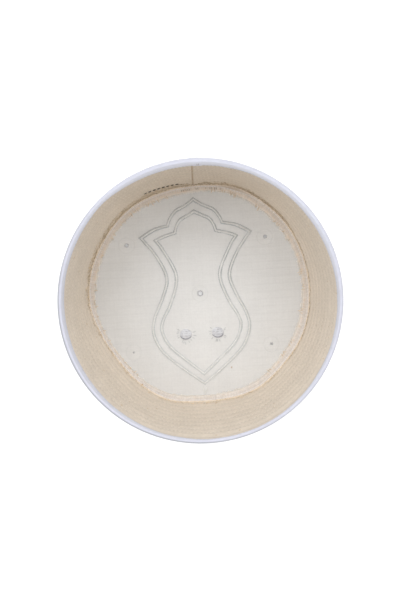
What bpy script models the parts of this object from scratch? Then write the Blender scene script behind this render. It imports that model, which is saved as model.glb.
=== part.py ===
# A white felt prayer cap that stands on its flat crown with the opening up: a side wall of one strip,
# a round crown, a tape folded over the rim, and the overlocked edge of the crown seam lying inside.
# Metres, +Z up. The origin is the centre of the crown's outside face, and the back seam is near +Y.
# A bearing is an angle in degrees about +Z, counted from +X towards +Y.

import math
from collections import namedtuple

import bmesh
import bpy
from mathutils import Matrix, Vector

# Driving dimensions
HEIGHT = 0.088              # crown's outside to the top of the rim tape
RIM_RADIUS = 0.0946         # outside of the rim tape, over a 57 cm head opening
CROWN_RADIUS = 0.0800       # inside of the wall at the crown seam, before the seam's wander
FELT = 0.0020               # side wall and crown
TAPE = 0.0010               # rim tape
GAP = 0.0003                # between pieces that are sewn together

# Side wall
CORNER_RADIUS = 0.0030      # outside corner where the wall turns under to the crown
OUTER_HEM = 0.0090          # how far the tape reaches down the outside of the wall
PRESS_FADE = 0.0030         # the height over which the felt thins into the tape
BACK_SEAM_BEARING = 93.6    # where the strip's two ends are sewn together
BACK_SEAM_HALF = 0.35       # half of the seam's groove, in degrees
BACK_SEAM_DIP = 0.35        # share of the felt's thickness that the groove takes
STITCH_ROWS = 9             # rows of stitching round the wall, the last of them under the tape
FIRST_ROW = 0.0078          # above the crown's inside
ROW_PITCH = 0.0090
RIB_RISE = 0.00035          # how far the felt swells inwards between two rows

# Crown
SEAM_TUCK = 0.0010          # the seam lies this far inside the wall's inner face
PANEL_ROUND = 0.0008        # rounding of the panel's outside edge
EDGE_THICKNESS = 0.0012     # overlocked seam edge
CROWN_TURN = 3.7            # the crown was sewn in turned by this many degrees
VENT_RADIUS = 0.0015
VENT_SPACING = Vector((0.0505, 0.0392))     # the outer vents, from the crown's centre
CENTRE_VENT = Vector((0.0007, 0.0010))
DOT_PLACE = Vector((0.0117, -0.0282))       # the right-hand satin-stitched dot
DOT_RADIUS = 0.0043
DOT_RISE = 0.0009
BORDER_RISE = 0.0005        # how far the embroidered border stands above the panel
BORDER_SINK = 0.0005        # how deep it is rooted in the panel

SEGMENTS = 64               # facets round the cap
ARC_STEPS = 4               # facets of a rounded edge
CURVE_STEPS = 3             # points between two knots of the embroidered outline
HOLE_SIDES = 12
DOT_SIDES = 16

# The crown seam wanders: how far outward it lies at each bearing, and how wide its overlocked edge is.
Seam = namedtuple("Seam", "bearing outward edge_width")
SEAM_ROUND = (
    Seam(0, 0.0001, 0.0055),
    Seam(20, 0.0006, 0.0052),
    Seam(40, 0.0019, 0.0059),
    Seam(55, 0.0023, 0.0059),
    Seam(73, 0.0030, 0.0057),
    Seam(85, 0.0012, 0.0048),
    Seam(98, 0.0001, 0.0048),
    Seam(110, 0.0004, 0.0054),
    Seam(130, 0.0015, 0.0048),
    Seam(150, 0.0008, 0.0051),
    Seam(170, 0.0012, 0.0054),
    Seam(185, 0.0004, 0.0042),
    Seam(200, -0.0025, 0.0032),
    Seam(218, -0.0040, 0.0034),
    Seam(240, -0.0018, 0.0036),
    Seam(255, -0.0007, 0.0044),
    Seam(270, -0.0026, 0.0044),
    Seam(280, -0.0025, 0.0042),
    Seam(300, -0.0003, 0.0050),
    Seam(320, -0.0010, 0.0051),
    Seam(340, 0.0001, 0.0059),
)

# The rim: how thin the tape presses the felt, and how far its inner hem reaches down.
Rim = namedtuple("Rim", "bearing felt hem")
RIM_ROUND = (
    Rim(15, 0.0014, 0.0060),
    Rim(45, 0.0014, 0.0060),
    Rim(75, 0.0016, 0.0070),
    Rim(105, 0.0018, 0.0080),
    Rim(120, 0.0016, 0.0070),
    Rim(135, 0.0011, 0.0040),
    Rim(150, 0.0013, 0.0050),
    Rim(195, 0.0015, 0.0065),
    Rim(225, 0.0013, 0.0050),
    Rim(270, 0.0010, 0.0025),
    Rim(315, 0.0010, 0.0020),
    Rim(345, 0.0012, 0.0045),
)

# Half of the embroidered sandal outline in millimetres from the crown's centre, toe first: the border's
# outer edge, its inner edge, and whether the outline has a corner there.
Knot = namedtuple("Knot", "outer_x outer_y inner_x inner_y corner")
SANDAL_HALF = (
    Knot(0.0, 71.0, 0.0, 59.8, True),
    Knot(6.0, 66.8, 5.3, 57.1, False),
    Knot(14.2, 62.7, 10.3, 54.4, False),
    Knot(18.9, 56.8, 13.0, 50.2, False),
    Knot(20.5, 52.5, 14.4, 45.4, True),
    Knot(31.0, 50.1, 21.5, 43.6, False),
    Knot(41.2, 44.2, 28.1, 41.2, True),
    Knot(30.4, 29.5, 23.4, 34.0, False),
    Knot(23.9, 13.5, 15.0, 14.5, False),
    Knot(27.9, -0.5, 20.0, -4.5, False),
    Knot(34.5, -15.0, 26.8, -17.2, False),
    Knot(36.0, -27.0, 28.1, -25.4, False),
    Knot(29.8, -41.0, 22.7, -36.6, False),
    Knot(15.0, -54.8, 9.5, -48.9, False),
    Knot(0.0, -66.2, 0.0, -57.3, True),
)

FELT_TOP = HEIGHT - TAPE - GAP


def ease(share):
    """0 to 1 with level ends."""
    share = min(max(share, 0.0), 1.0)
    return share * share * (3.0 - 2.0 * share)


def read_round(table, column, bearing):
    """A column of a table of bearings, eased from each row to the next and closed on itself."""
    bearing %= 360.0
    rows = [(row.bearing, getattr(row, column)) for row in table]
    rows = [(rows[-1][0] - 360.0, rows[-1][1])] + rows + [(rows[0][0] + 360.0, rows[0][1])]
    for (start, before), (end, after) in zip(rows, rows[1:]):
        if start <= bearing <= end:
            return before + (after - before) * ease((bearing - start) / (end - start))
    return rows[0][1]


def seam_radius(bearing):
    """Inside of the wall where it meets the crown."""
    return CROWN_RADIUS + read_round(SEAM_ROUND, "outward", bearing)


def wall_middle(bearing, height):
    """Radius of the middle of the wall's thickness: a straight flare from the crown seam to the rim."""
    foot = seam_radius(bearing) + FELT / 2
    rim = RIM_RADIUS - TAPE - GAP - read_round(RIM_ROUND, "felt", bearing) / 2
    return foot + (rim - foot) * (height - FELT) / (FELT_TOP - FELT)


def wall_half(bearing, height):
    """Half of the wall's thickness, which thins where the tape presses it."""
    pressed = read_round(RIM_ROUND, "felt", bearing)
    share = ease((height - (FELT_TOP - OUTER_HEM - PRESS_FADE)) / PRESS_FADE)
    return (FELT + (pressed - FELT) * share) / 2


def arc(centre, radius, start, end, steps=ARC_STEPS):
    """Points of an arc in the section plane, as (radius from the axis, height)."""
    angles = [math.radians(start + (end - start) * step / steps) for step in range(steps + 1)]
    return [(centre[0] + radius * math.cos(a), centre[1] + radius * math.sin(a)) for a in angles]


def wall_section(bearing):
    """The wall's section: up its ribbed inner face, over the top, down the outside and under."""
    fullness = 1.0 - BACK_SEAM_DIP if bearing == BACK_SEAM_BEARING else 1.0

    def inner(height, rise=0.0):
        rise *= 1.0 - ease((height - (FELT_TOP - OUTER_HEM - 2 * PRESS_FADE)) / PRESS_FADE)
        inwards = fullness * (wall_half(bearing, height) + rise)
        return (wall_middle(bearing, height) - inwards, height)

    def outer(height):
        return (wall_middle(bearing, height) + fullness * wall_half(bearing, height), height)

    foot = seam_radius(bearing)
    section = [(foot, FELT)]
    below = FELT
    for row in range(STITCH_ROWS):
        stitched = FELT + FIRST_ROW + ROW_PITCH * row
        section += [inner((below + stitched) / 2, RIB_RISE), inner(stitched)]
        below = stitched
    section += [inner(FELT_TOP), outer(FELT_TOP)]
    section += [outer(FELT_TOP - OUTER_HEM), outer(FELT_TOP - OUTER_HEM - PRESS_FADE), outer(HEIGHT / 3)]
    section += arc((foot - SEAM_TUCK, CORNER_RADIUS), CORNER_RADIUS, 0, -90)[:-1]
    tuck = foot - SEAM_TUCK + GAP / 2
    section += [(tuck, 0.0), (tuck, FELT)]
    return section


def binding_section(bearing):
    """The folded tape's section: up its inner leg, over the rim, down its outer leg and back under."""
    half = read_round(RIM_ROUND, "felt", bearing) / 2 + GAP
    hem = read_round(RIM_ROUND, "hem", bearing)
    inner_foot = FELT_TOP - hem
    outer_foot = FELT_TOP - OUTER_HEM + GAP
    fold = half + TAPE
    rounding = 1.3 * TAPE
    shoulder = HEIGHT - rounding

    def at(across, height):
        return (wall_middle(bearing, height) + across, height)

    inner_turn = (at(-fold, shoulder)[0] + rounding, shoulder)
    outer_turn = (RIM_RADIUS - rounding, shoulder)
    section = [at(-half, inner_foot), at(-half - TAPE / 2, inner_foot - TAPE / 4)]
    section += [at(-fold, inner_foot + TAPE / 4)]
    section += arc(inner_turn, rounding, 180, 90)
    section += arc(outer_turn, rounding, 90, 0)
    section += [at(fold, outer_foot), at(half, outer_foot)]
    section += [at(half, FELT_TOP + GAP), at(-half, FELT_TOP + GAP)]
    return section


def seam_edge_section(bearing):
    """The overlocked edge's section: a flat band with rounded edges that lies on the crown."""
    outer = seam_radius(bearing) - GAP
    inner = outer - read_round(SEAM_ROUND, "edge_width", bearing)
    low = FELT + GAP
    high = low + EDGE_THICKNESS
    rounding = EDGE_THICKNESS / 3
    return [
        (inner, low + rounding),
        (inner + rounding, low),
        (outer, low),
        (outer, high - rounding),
        (outer - rounding, high),
        (inner + 2 * rounding, high - rounding / 2),
        (inner, high - 1.5 * rounding),
    ]


def new_object(name, shape, collection, material=None):
    """A mesh object from a bmesh, with its faces turned outwards and shaded smooth up to sharp edges."""
    bmesh.ops.recalc_face_normals(shape, faces=shape.faces)
    mesh = bpy.data.meshes.new(name)
    shape.to_mesh(mesh)
    shape.free()
    mesh.shade_smooth()
    mesh.set_sharp_from_angle(angle=math.radians(40))
    if material:
        mesh.materials.append(material)
    made = bpy.data.objects.new(name, mesh)
    collection.objects.link(made)
    return made


def section_loops(shape, section_at, bearings):
    """A loop of vertices in each bearing's section plane."""
    loops = []
    for bearing in bearings:
        turn = math.radians(bearing)
        across = (math.cos(turn), math.sin(turn))
        loops.append([shape.verts.new((r * across[0], r * across[1], z)) for r, z in section_at(bearing)])
    return loops


def skin(shape, loops, close_section=True):
    """Quads between each loop and the next, and from the last back to the first."""
    count = len(loops[0])
    for near, far in zip(loops, loops[1:] + loops[:1]):
        for i in range(count if close_section else count - 1):
            j = (i + 1) % count
            shape.faces.new((near[i], near[j], far[j], far[i]))


def even_bearings():
    return [BACK_SEAM_BEARING + 360.0 * step / SEGMENTS for step in range(SEGMENTS)]


def whole_ring(section_at, bearings):
    """A closed ring lofted through the sections at the bearings."""
    shape = bmesh.new()
    skin(shape, section_loops(shape, section_at, bearings))
    return shape


def side_band(collection, felt):
    """The wall: a strip bent round the head, with a groove where its ends are sewn together."""
    bearings = even_bearings()
    bearings.insert(1, BACK_SEAM_BEARING + BACK_SEAM_HALF)
    bearings.append(BACK_SEAM_BEARING + 360.0 - BACK_SEAM_HALF)
    return new_object("side_band", whole_ring(wall_section, bearings), collection, felt)


def rim_binding(collection, tape):
    return new_object("rim_binding", whole_ring(binding_section, even_bearings()), collection, tape)


def crown_seam_edge(collection, thread):
    return new_object("crown_seam_edge", whole_ring(seam_edge_section, even_bearings()), collection, thread)


def smooth_run(points, steps):
    """Points along a smooth curve through the given ones, without the last."""
    padded = [points[0]] + points + [points[-1]]
    run = []
    for before, start, end, after in zip(padded, padded[1:], padded[2:], padded[3:]):
        for step in range(steps):
            t = step / steps
            run.append(
                0.5 * (2 * start + t * (end - before)
                       + t * t * (2 * before - 5 * start + 4 * end - after)
                       + t * t * t * (3 * start - before - 3 * end + after))
            )
    return run


def sandal_outline(inward):
    """The closed sandal outline in metres; inward is 0 at the border's outer edge, 1 at its inner one."""
    half = []
    run = []
    for knot in SANDAL_HALF:
        outer = Vector((knot.outer_x, knot.outer_y))
        run.append(outer.lerp(Vector((knot.inner_x, knot.inner_y)), inward) / 1000)
        if knot.corner and len(run) > 1:
            half += smooth_run(run, CURVE_STEPS)
            run = run[-1:]
    heel = run[-1]
    mirrored = [Vector((-point.x, point.y)) for point in reversed(half[1:])]
    return half + [heel] + mirrored


def sandal_border(collection):
    """The raised border as a flat ring between its two outlines, for joining to the panel."""
    curve = bpy.data.curves.new("sandal_border", "CURVE")
    curve.dimensions = "2D"
    curve.fill_mode = "BOTH"
    curve.extrude = (BORDER_RISE + BORDER_SINK) / 2
    for inward in (0.0, 1.0):
        outline = sandal_outline(inward)
        spline = curve.splines.new("POLY")
        spline.points.add(len(outline) - 1)
        for point, place in zip(spline.points, outline):
            point.co = (place.x, place.y, 0.0, 1.0)
        spline.use_cyclic_u = True
    guide = bpy.data.objects.new("sandal_border_guide", curve)
    collection.objects.link(guide)
    bpy.context.view_layer.update()
    graph = bpy.context.evaluated_depsgraph_get()
    flat = bpy.data.meshes.new_from_object(guide.evaluated_get(graph))
    shape = bmesh.new()
    shape.from_mesh(flat)
    bmesh.ops.remove_doubles(shape, verts=shape.verts, dist=1e-6)
    middle = FELT + (BORDER_RISE - BORDER_SINK) / 2
    bmesh.ops.translate(shape, verts=shape.verts, vec=(0, 0, middle))
    bpy.data.objects.remove(guide)
    bpy.data.curves.remove(curve)
    bpy.data.meshes.remove(flat)
    return new_object("sandal_border", shape, collection)


def satin_dot(collection, name, place):
    """A low dome, rooted in the panel."""
    shape = bmesh.new()
    bmesh.ops.create_uvsphere(shape, u_segments=DOT_SIDES, v_segments=DOT_SIDES // 2, radius=1.0)
    bmesh.ops.scale(shape, verts=shape.verts, vec=(DOT_RADIUS, DOT_RADIUS, DOT_RISE))
    bmesh.ops.translate(shape, verts=shape.verts, vec=(place.x, place.y, FELT))
    return new_object(name, shape, collection)


def vent_cutter(collection, name, place):
    """A pin through the panel."""
    shape = bmesh.new()
    bmesh.ops.create_cone(
        shape, cap_ends=True, segments=HOLE_SIDES, depth=4 * FELT,
        radius1=VENT_RADIUS, radius2=VENT_RADIUS,
        matrix=Matrix.Translation((place.x, place.y, FELT / 2)),
    )
    return new_object(name, shape, collection)


def turn_with_crown(made):
    """Turns a feature of the crown as the crown was sewn in."""
    made.rotation_euler.z = math.radians(CROWN_TURN)
    made.hide_render = True
    made.display_type = "WIRE"


def combine(target, tool, operation):
    modifier = target.modifiers.new(tool.name, "BOOLEAN")
    modifier.operation = operation
    modifier.object = tool
    modifier.solver = "EXACT"


def crown_panel(collection, helpers, felt):
    """The round crown: a disc that follows the seam, with its embroidery raised and its vents cut."""

    def edge(bearing):
        rim = seam_radius(bearing) - SEAM_TUCK - GAP / 2
        under = arc((rim - PANEL_ROUND, PANEL_ROUND), PANEL_ROUND, -90, 0, steps=3)
        return under + [(rim, FELT - PANEL_ROUND / 2), (rim - PANEL_ROUND / 2, FELT)]

    shape = bmesh.new()
    loops = section_loops(shape, edge, even_bearings())
    skin(shape, loops, close_section=False)
    shape.faces.new([loop[0] for loop in loops])
    shape.faces.new([loop[-1] for loop in loops])
    panel = new_object("crown_panel", shape, collection, felt)

    border = sandal_border(helpers)
    turn_with_crown(border)
    combine(panel, border, "UNION")
    for side, word in ((1, "right"), (-1, "left")):
        dot = satin_dot(helpers, "satin_dot_" + word, Vector((side * DOT_PLACE.x, DOT_PLACE.y)))
        turn_with_crown(dot)
        combine(panel, dot, "UNION")
    vents = [CENTRE_VENT]
    vents += [Vector((x * VENT_SPACING.x, y * VENT_SPACING.y)) for x in (1, -1) for y in (1, -1)]
    for number, place in enumerate(vents):
        cutter = vent_cutter(helpers, "vent_cutter_%d" % number, place)
        turn_with_crown(cutter)
        combine(panel, cutter, "DIFFERENCE")
    return panel


def cloth(name, colour, roughness):
    material = bpy.data.materials.new(name)
    material.use_nodes = True
    surface = material.node_tree.nodes["Principled BSDF"]
    surface.inputs["Base Color"].default_value = (*colour, 1.0)
    surface.inputs["Roughness"].default_value = roughness
    surface.inputs["Metallic"].default_value = 0.0
    return material


def build():
    for old in list(bpy.data.objects):
        bpy.data.objects.remove(old, do_unlink=True)
    cap = bpy.data.collections.new("prayer_cap")
    helpers = bpy.data.collections.new("cutters")
    bpy.context.scene.collection.children.link(cap)
    bpy.context.scene.collection.children.link(helpers)

    side_band(cap, cloth("beige_backed_felt", (0.60, 0.50, 0.39), 0.95))
    crown_panel(cap, helpers, cloth("white_felt", (0.72, 0.70, 0.66), 0.92))
    rim_binding(cap, cloth("white_tape", (0.74, 0.76, 0.84), 0.80))
    crown_seam_edge(cap, cloth("overlock_thread", (0.70, 0.60, 0.52), 0.90))


build()
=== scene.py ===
import math

import bmesh
import bpy
from mathutils import Matrix, Vector, noise


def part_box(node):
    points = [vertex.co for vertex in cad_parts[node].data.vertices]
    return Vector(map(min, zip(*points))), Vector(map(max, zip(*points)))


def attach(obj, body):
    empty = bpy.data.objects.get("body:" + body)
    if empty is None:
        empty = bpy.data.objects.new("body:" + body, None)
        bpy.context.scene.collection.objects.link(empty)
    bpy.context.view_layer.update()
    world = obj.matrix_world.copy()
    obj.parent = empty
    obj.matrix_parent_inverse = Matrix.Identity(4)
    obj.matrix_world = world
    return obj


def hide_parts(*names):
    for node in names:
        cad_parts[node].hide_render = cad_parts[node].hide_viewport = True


# A felt prayer cap that stands on its flat crown, opening up, seen from above into its hollow.
# Metres, +Z up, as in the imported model. A bearing is an angle in degrees about +Z, from +X towards +Y.

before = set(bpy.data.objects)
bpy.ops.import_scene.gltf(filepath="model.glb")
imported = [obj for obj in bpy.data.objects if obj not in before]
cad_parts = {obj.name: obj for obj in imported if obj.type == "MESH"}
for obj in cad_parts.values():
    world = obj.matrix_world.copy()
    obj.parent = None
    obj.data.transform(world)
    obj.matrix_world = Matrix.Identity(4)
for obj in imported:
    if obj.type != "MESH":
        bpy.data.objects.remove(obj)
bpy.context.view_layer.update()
tapeLow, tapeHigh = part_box("rim_binding")
capHeight = tapeHigh.z
rimRadius = (tapeHigh.x - tapeLow.x) / 2

cap = {
    "felt": 0.0020,             # thickness of wall and crown
    "crownRadius": 0.0800,      # inside of the wall at the crown seam, before the seam's wander
    "corner": 0.0030,           # outside corner where the wall turns under to the crown
    "seamTuck": 0.0010,         # the crown ends this far inside the wall's inner face
    "hair": 0.0001,             # between layers that are sewn together
    "backSeam": 93.6,           # bearing at which the wall's ends are sewn together
    "crownTurn": 3.7,           # the crown was sewn in turned by this many degrees
    "drum": 0.1000,             # sections are spun at this radius, then carried to their real place
}

# Where the crown seam lies: bearing, how far outward, and how wide its overlocked edge is, in millimetres.
seamRound = (
    (0, 0.1, 5.5), (20, 0.6, 5.2), (40, 1.9, 5.9), (55, 2.3, 5.9), (73, 3.0, 5.7), (85, 1.2, 4.8),
    (98, 0.1, 4.8), (110, 0.4, 5.4), (130, 1.5, 4.8), (150, 0.8, 5.1), (170, 1.2, 5.4), (185, 0.4, 4.2),
    (200, -2.5, 3.2), (218, -4.0, 3.4), (240, -1.8, 3.6), (255, -0.7, 4.4), (270, -2.6, 4.4),
    (280, -2.5, 4.2), (300, -0.3, 5.0), (320, -1.0, 5.1), (340, 0.1, 5.9),
)

# The rim: bearing, how thick the pressed felt is under the tape, and how far the tape's inner hem reaches
# down, in millimetres.
rimRound = (
    (15, 1.4, 6.0), (45, 1.4, 6.0), (75, 1.6, 7.0), (105, 1.8, 8.0), (120, 1.6, 7.0), (135, 1.1, 4.0),
    (150, 1.3, 5.0), (195, 1.5, 6.5), (225, 1.3, 5.0), (270, 1.0, 2.5), (315, 1.0, 2.0), (345, 1.2, 4.5),
)


# Placing

def ease(share):
    share = min(max(share, 0.0), 1.0)
    return share * share * (3.0 - 2.0 * share)


def evenly(steps):
    return [step / steps for step in range(steps + 1)]


def apart(bearing, other):
    # degrees from one bearing to another, from -180 to 180
    return (bearing - other + 180.0) % 360.0 - 180.0


def bearingOf(point):
    return math.degrees(math.atan2(point.y, point.x))


def around(bearing, radius=1.0, height=0.0):
    # the point at a bearing, radius and height
    turn = math.radians(bearing)
    return Vector((radius * math.cos(turn), radius * math.sin(turn), height))


def readRound(known, bearing):
    # a smooth closed curve through a list of bearings and values
    count = len(known)
    spans = [(known[(row + 1) % count][0] - known[row][0]) % 360.0 for row in range(count)]
    rises = [known[(row + 1) % count][1] - known[row][1] for row in range(count)]
    slopes = []
    for row in range(count):
        before, span = spans[row - 1], spans[row]
        slopes.append((rises[row - 1] / before * span + rises[row] / span * before) / (before + span))
    for row in range(count):
        along = (bearing - known[row][0]) % 360.0
        if along < spans[row]:
            t = along / spans[row]
            start, end = slopes[row] * spans[row], slopes[(row + 1) % count] * spans[row]
            return (known[row][1] + rises[row] * t * t * (3 - 2 * t)
                    + start * t * (1 - t) * (1 - t) - end * t * t * (1 - t))
    return known[0][1]


def roundTable(rows, column, unit=0.001):
    # read once for every quarter of a degree, because thousands of points ask for it
    step = 0.25
    known = [(row[0], row[column] * unit) for row in rows]
    values = [readRound(known, index * step) for index in range(int(360 / step))]

    def read(bearing):
        place = bearing / step
        index = math.floor(place)
        before = values[index % len(values)]
        after = values[(index + 1) % len(values)]
        return before + (after - before) * (place - index)

    return read


seamOutward = roundTable(seamRound, 1)
edgeWidth = roundTable(seamRound, 2)
pressedFelt = roundTable(rimRound, 1)
hemReach = roundTable(rimRound, 2)


def wobble(bearing, height, size, seed=0.0):
    # smooth unevenness from -1 to 1 that closes on itself; size is the length of one swell
    return noise.noise(around(bearing, rimRadius / size, height / size + seed))


def seamRadius(bearing):
    return cap["crownRadius"] + seamOutward(bearing)


tape = {
    "thickness": 0.0005,
    "width": 0.018,             # laid flat
    "stitchLength": 0.0019,
    "outerHem": 0.0090,         # how far the tape reaches down the outside
    "foldShare": 0.4,           # share of each half of the tape that goes over the rim
    "foldFlat": 0.85,           # how high the fold over the rim stands; 1 is round
    "innerLean": 0.0001,        # how far the inner hem stands off the wall
    "columns": 440,
    "legRows": 7,
    "foldRows": 12,
    "hemWobble": 0.0007,
    "pucker": 0.00016,          # small waves where the hem is sewn down
    "puckerSize": 0.0070,
    "stitchIn": 0.0012,         # of the seam from the hem
    "stitches": 236,
    "stitchWidth": 0.00038,
    "lapStart": 90.3,           # bearing at which the tape's end begins to lie over its start
    "lapSweep": 4.2,
    "lapSlant": 1.1,            # degrees that the lap's ends slant from hem to fold
    "lapSoft": 0.12,            # share of the lap over which its ends come down
    "lapLift": 0.00028,
}
feltTop = capHeight - tape["thickness"] - cap["hair"]


def wallMiddle(bearing, height):
    # radius of the middle of the wall's thickness: a straight flare from the crown seam to the rim
    foot = seamRadius(bearing) + cap["felt"] / 2
    rim = rimRadius - tape["thickness"] - cap["hair"] - pressedFelt(bearing) / 2
    return foot + (rim - foot) * (height - cap["felt"]) / (feltTop - cap["felt"])


def wallHalf(bearing, height):
    pressed = pressedFelt(bearing)
    share = ease((height - (feltTop - tape["outerHem"] - 0.003)) / 0.003)
    return (cap["felt"] + (pressed - cap["felt"]) * share) / 2


# Making

def spinSection(points, steps, angle=360.0, closed=True):
    # a section of (across, height) points, spun round the cap's axis at the drum's radius
    shape = bmesh.new()
    chain = [shape.verts.new((cap["drum"] + across, 0.0, height)) for across, height in points]
    loop = [shape.edges.new(pair) for pair in zip(chain, chain[1:] + chain[:closed])]
    bmesh.ops.spin(
        shape, geom=chain + loop, cent=(0, 0, 0), axis=(0, 0, 1),
        angle=math.radians(angle), steps=steps, use_merge=angle == 360.0,
    )
    return shape


def carryRound(shape, place, start=0.0):
    # place(bearing, across, height) gives each spun point's bearing, radius and height on the cap
    for vert in shape.verts:
        across = math.hypot(vert.co.x, vert.co.y) - cap["drum"]
        vert.co = around(*place(bearingOf(vert.co) % 360.0 + start, across, vert.co.z))


def meshOf(name, shape):
    mesh = bpy.data.meshes.new(name)
    shape.to_mesh(mesh)
    shape.free()
    return mesh


def linked(name, data):
    # a new object for a mesh, curve, lamp or camera, in the scene
    made = bpy.data.objects.new(name, data)
    bpy.context.scene.collection.objects.link(made)
    return made


def finishPiece(name, shape, materials, slot, node=None):
    bmesh.ops.remove_doubles(shape, verts=shape.verts, dist=1e-6)
    bmesh.ops.recalc_face_normals(shape, faces=shape.faces)
    mesh = meshOf(name, shape)
    mesh.shade_smooth()
    mesh.set_sharp_from_angle(angle=math.radians(50))
    for material in materials:
        mesh.materials.append(material)
    piece = linked(name, mesh)
    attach(piece, "root")
    if node:
        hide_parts(node)
    return piece


def finishThread(name, shape, thread, colour, roughness=0.75, uneven=0.18, slot="overlock_thread"):
    finishPiece(name, shape, [threadMaterial(thread, colour, roughness, uneven)], slot)


def makeGrain():
    # one unit thread end, slim at both ends, which every stitch is a copy of
    shape = bmesh.new()
    bmesh.ops.create_uvsphere(shape, u_segments=6, v_segments=4, radius=1.0)
    return meshOf("grain", shape)


grainMesh = makeGrain()


def addStitch(shape, centre, along, length, width, rise, normal=(0.0, 0.0, 1.0)):
    # one thread end to end, as a slim rounded grain that lies on the cloth
    along = along.to_3d().normalized()
    sideways = Vector(normal).cross(along).normalized()
    turned = Matrix((sideways, along.cross(sideways), along)).transposed().to_4x4()
    size = Matrix.Diagonal((width / 2, rise, length / 2, 1.0))
    grain = grainMesh.copy()
    grain.transform(Matrix.Translation(centre) @ turned @ size)
    shape.from_mesh(grain)
    bpy.data.meshes.remove(grain)


def addWallStitch(shape, bearing, height, tilt, length, width, rise):
    # a thread on the wall's inner face; tilt is in degrees from level
    inwards = around(bearing, -1.0)
    along = around(bearing + 90.0, math.cos(math.radians(tilt)), math.sin(math.radians(tilt)))
    centre = around(bearing, innerFace(bearing, height), height) + inwards * rise * 0.4
    addStitch(shape, centre, along, length, width, rise, inwards)


def stitchRound(count, length, width, rise, lie):
    # one stitch copied round the cap; lie(bearing, number, across, height) gives the bearing, radius and
    # height at which each of its points lies
    shape = bmesh.new()
    addStitch(shape, Vector((cap["drum"], 0.0, 0.0)), Vector((0.0, 1.0)), length, width, rise)
    turned = Matrix.Rotation(math.radians(90), 4, "Y")
    bmesh.ops.rotate(shape, verts=shape.verts, cent=(cap["drum"], 0, 0), matrix=turned)
    bmesh.ops.spin(
        shape, geom=shape.verts[:] + shape.edges[:] + shape.faces[:], cent=(0, 0, 0), axis=(0, 0, 1),
        angle=math.tau * (count - 1) / count, steps=count - 1, use_duplicate=True,
    )
    spacing = 360.0 / count

    def place(bearing, across, height):
        return lie(bearing, round(bearing / spacing) % count, across, height)

    carryRound(shape, place)
    return shape


def gather(parts):
    # several shapes as one
    whole = bmesh.new()
    for part in parts:
        mesh = meshOf("gathered", part)
        whole.from_mesh(mesh)
        bpy.data.meshes.remove(mesh)
    return whole


def chance(number, seed=0.0):
    # a steady value from 0 to 1 for a numbered stitch
    return 0.5 + 0.5 * noise.cell(Vector((number * 1.37 + 0.5, seed * 7.13 + 0.5, 0.5)))


# Shader maths

class Socket:
    # wraps an output socket, so that an expression on it adds Math nodes

    def __init__(self, tree, output):
        self.tree = tree
        self.output = output

    def node(self, kind, settings, inputs, output=0):
        made = self.tree.nodes.new(kind)
        for name, value in settings.items():
            setattr(made, name, value)
        for key, value in inputs.items():
            if isinstance(value, Socket):
                self.tree.links.new(value.output, made.inputs[key])
            else:
                made.inputs[key].default_value = value
        return Socket(self.tree, made.outputs[output])

    def maths(self, operation, *terms):
        return self.node("ShaderNodeMath", {"operation": operation}, dict(enumerate(terms)))

    def __add__(self, other):
        return self.maths("ADD", self, other)

    def __sub__(self, other):
        return self.maths("SUBTRACT", self, other)

    def __rsub__(self, other):
        return self.maths("SUBTRACT", other, self)

    def __mul__(self, other):
        return self.maths("MULTIPLY", self, other)

    def __truediv__(self, other):
        return self.maths("DIVIDE", self, other)

    def __abs__(self):
        return self.maths("ABSOLUTE", self)

    __radd__ = __add__
    __rmul__ = __mul__

    def sine(self):
        return self.maths("SINE", self)

    def between(self, low, high):
        # 0 below low, 1 above high, smooth in the middle
        return self.node(
            "ShaderNodeMapRange", {"interpolation_type": "SMOOTHSTEP"},
            {"Value": self, "From Min": low, "From Max": high},
        )

    def fading(self, low, high):
        return 1 - self.between(low, high)

    def near(self, value, reach):
        # 1 at the value, fading to 0 at its reach on both sides
        return abs(self - value).fading(0.0, reach)

    def attribute(self, name):
        return self.node("ShaderNodeAttribute", {"attribute_name": name}, {}, "Fac")

    def parts(self):
        return [self.node("ShaderNodeSeparateXYZ", {}, {0: self}, index) for index in range(3)]

    def scaled(self, x, y, z):
        return self.node("ShaderNodeVectorMath", {"operation": "MULTIPLY"}, {0: self, 1: (x, y, z)})

    def turned(self, degrees):
        return self.node("ShaderNodeMapping", {}, {"Vector": self, "Rotation": (0, 0, math.radians(degrees))})

    def distance(self, point):
        return self.node("ShaderNodeVectorMath", {"operation": "DISTANCE"}, {0: self, 1: point}, "Value")

    def grain(self, scale, detail=2.0, roughness=0.5):
        inputs = {"Vector": self, "Scale": scale, "Detail": detail, "Roughness": roughness}
        return self.node("ShaderNodeTexNoise", {}, inputs)

    def blend(self, first, second):
        # from the first colour to the second as this value goes from 0 to 1
        first, second = [end if isinstance(end, Socket) else (*end, 1.0) for end in (first, second)]
        return self.node("ShaderNodeMix", {"data_type": "RGBA"}, {0: self, 6: first, 7: second}, 2)


def newCloth(name, roughness, sheen):
    # a material and the place on the object
    material = bpy.data.materials.new(name)
    material.use_nodes = True
    tree = material.node_tree
    shader = tree.nodes["Principled BSDF"]
    shader.inputs["Roughness"].default_value = roughness
    shader.inputs["Sheen Weight"].default_value = sheen
    shader.inputs["Sheen Roughness"].default_value = 0.5
    shader.inputs["Specular IOR Level"].default_value = 0.25
    return material, Socket(tree, tree.nodes.new("ShaderNodeTexCoord").outputs["Object"])


def dress(material, colour, height, depth, strength):
    # colour and raised surface of a cloth
    tree = material.node_tree
    shader = tree.nodes["Principled BSDF"]
    bump = height.node("ShaderNodeBump", {}, {"Height": height, "Distance": depth, "Strength": strength})
    tree.links.new(colour.output, shader.inputs["Base Color"])
    tree.links.new(bump.output, shader.inputs["Normal"])
    return material


def layered(colour, *layers):
    # each layer is a mask and the colour that it brings
    for mask, tint in layers:
        colour = mask.blend(colour, tint)
    return colour


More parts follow.
